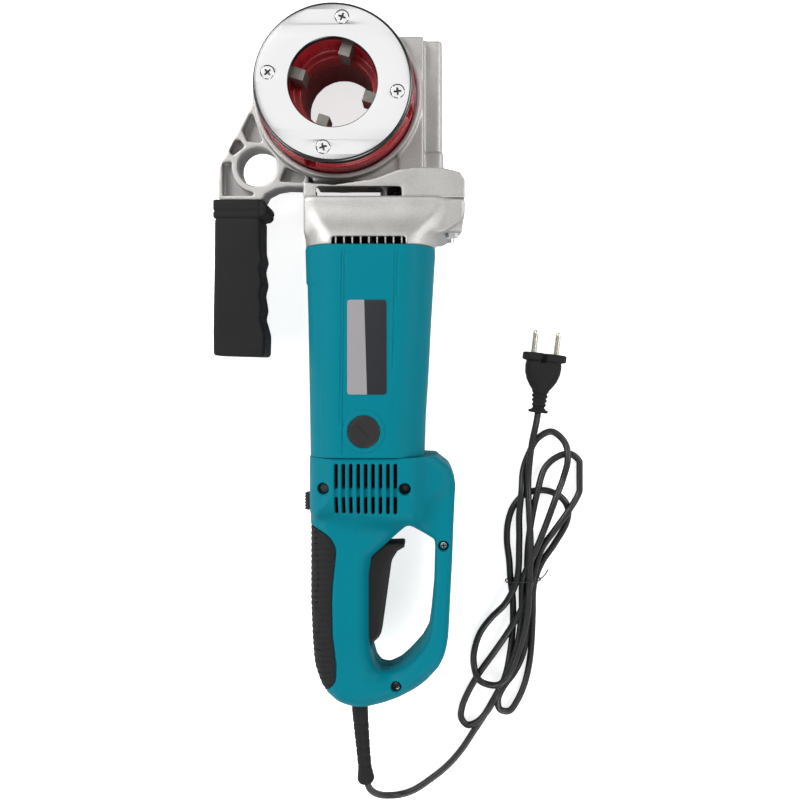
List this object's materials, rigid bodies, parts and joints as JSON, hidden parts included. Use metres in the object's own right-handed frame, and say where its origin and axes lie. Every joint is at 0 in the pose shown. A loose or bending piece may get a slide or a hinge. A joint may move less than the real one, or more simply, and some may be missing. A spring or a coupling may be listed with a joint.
{
  "type": "pipe threading machine",
  "caption": "Hand-held electric pipe threader with worm-driven ring, lift-out die head, ribbed support arm, D-shaped trigger handle and mains cord with plug.",
  "frame": {"origin": "die-head axis at the machine's back face, which lies on the floor", "axes": "+Z along the die-head axis, out of the cover plate; +Y from the handle towards the die head; +X across the machine, towards the worm"},
  "size_m": [0.3077, 0.6499, 0.09],
  "materials": {
    "cast_aluminium": "as cast, light blast",
    "machined_steel": "bright",
    "gear_steel": "ground, oiled",
    "dark_steel": "black oxide",
    "tool_steel": "ground",
    "lamination_steel": "stacked sheet",
    "bright_plate": "polished",
    "bronze": "machined",
    "brass": "drawn",
    "copper": "enamelled wire",
    "red_paint": "gloss",
    "teal_plastic": "fine moulded texture",
    "black_plastic": "moulded",
    "black_rubber": "moulded",
    "cord_sheath": "smooth sheath",
    "plate_print": "printed, bare of text",
    "yellow_film": "dipped",
    "carbon": "pressed",
    "plug_metal": "nickel plated"
  },
  "bodies": {
    "machine": {"gear_housing": "cast_aluminium", "ring_retainer": "machined_steel", "ring_bushes": "bronze", "worm_bearings": "machined_steel", "intermediate_bearings": "machined_steel", "motor_bracket": "cast_aluminium", "case_screws": "machined_steel", "support_arm": "cast_aluminium", "arm_core": "dark_steel", "arm_grip": "black_rubber", "motor_bearings": "machined_steel", "stator_core": "lamination_steel", "field_coils": "copper", "fan_baffle": "black_plastic", "motor_housing": "teal_plastic", "motor_screws": "machined_steel", "name_plate": "plate_print", "brush_caps": "black_plastic", "brush_holders": "brass", "carbon_brushes": "carbon", "handle_front_shell": "teal_plastic", "handle_rear_shell": "teal_plastic", "handle_screws": "machined_steel", "palm_pad": "black_rubber", "trigger_pin": "machined_steel", "trigger_spring": "machined_steel", "switch_block": "black_plastic", "capacitor": "yellow_film", "cable_clamp": "black_plastic", "strain_relief": "black_rubber", "cord_tail": "cord_sheath", "cord_hank": "cord_sheath", "cord_tie": "black_plastic", "cord_lead": "cord_sheath", "plug_body": "black_rubber", "plug_pins": "plug_metal"},
    "drive_ring": {"drive_ring": "gear_steel", "ring_circlip": "dark_steel"},
    "die_head": {"die_body": "red_paint", "cover_plate": "bright_plate", "plate_screws": "machined_steel", "chasers": "tool_steel"},
    "worm_set": {"worm_shaft": "machined_steel", "worm": "gear_steel", "worm_gear": "bronze"},
    "intermediate_set": {"intermediate_shaft": "gear_steel", "intermediate_gear": "bronze"},
    "armature": {"armature_shaft": "gear_steel", "armature_core": "lamination_steel", "windings": "copper", "commutator": "copper", "fan": "black_plastic"},
    "trigger": {"trigger": "black_plastic"},
    "direction_switch": {"direction_switch": "black_plastic"}
  },
  "joints": [
    {"name": "drive_ring_spin", "type": "hinge", "parent": "machine", "child": "drive_ring", "pos_m": [0, 0, 0.028], "axis": [0, 0, 1], "continuous": true},
    {"name": "die_head_lift", "type": "slide", "parent": "drive_ring", "child": "die_head", "axis": [0, 0, 1], "range_m": [0, 0.09]},
    {"name": "worm_spin", "type": "hinge", "parent": "machine", "child": "worm_set", "pos_m": [0.0675, 0, 0.028], "axis": [0, 1, 0], "continuous": true},
    {"name": "intermediate_spin", "type": "hinge", "parent": "machine", "child": "intermediate_set", "pos_m": [0.03757, -0.09, 0.02601], "axis": [0, 1, 0], "continuous": true},
    {"name": "armature_spin", "type": "hinge", "parent": "machine", "child": "armature", "pos_m": [0.0255, -0.19, 0.045], "axis": [0, 1, 0], "continuous": true},
    {"name": "trigger_pull", "type": "hinge", "parent": "machine", "child": "trigger", "pos_m": [0.019, -0.43, 0.045], "axis": [0, 0, 1], "range_deg": [0, 5], "stiffness_Nm_per_rad": 2, "springref_deg": -4.58, "deforming": ["trigger_spring"]},
    {"name": "direction_slide", "type": "slide", "parent": "machine", "child": "direction_switch", "axis": [0, -1, 0], "range_m": [0, 0.007]}
  ],
  "couplings": [
    {"joint": "worm_spin", "follows": "drive_ring_spin", "ratio": -58},
    {"joint": "intermediate_spin", "follows": "drive_ring_spin", "ratio": 174},
    {"joint": "armature_spin", "follows": "drive_ring_spin", "ratio": -609}
  ]
}
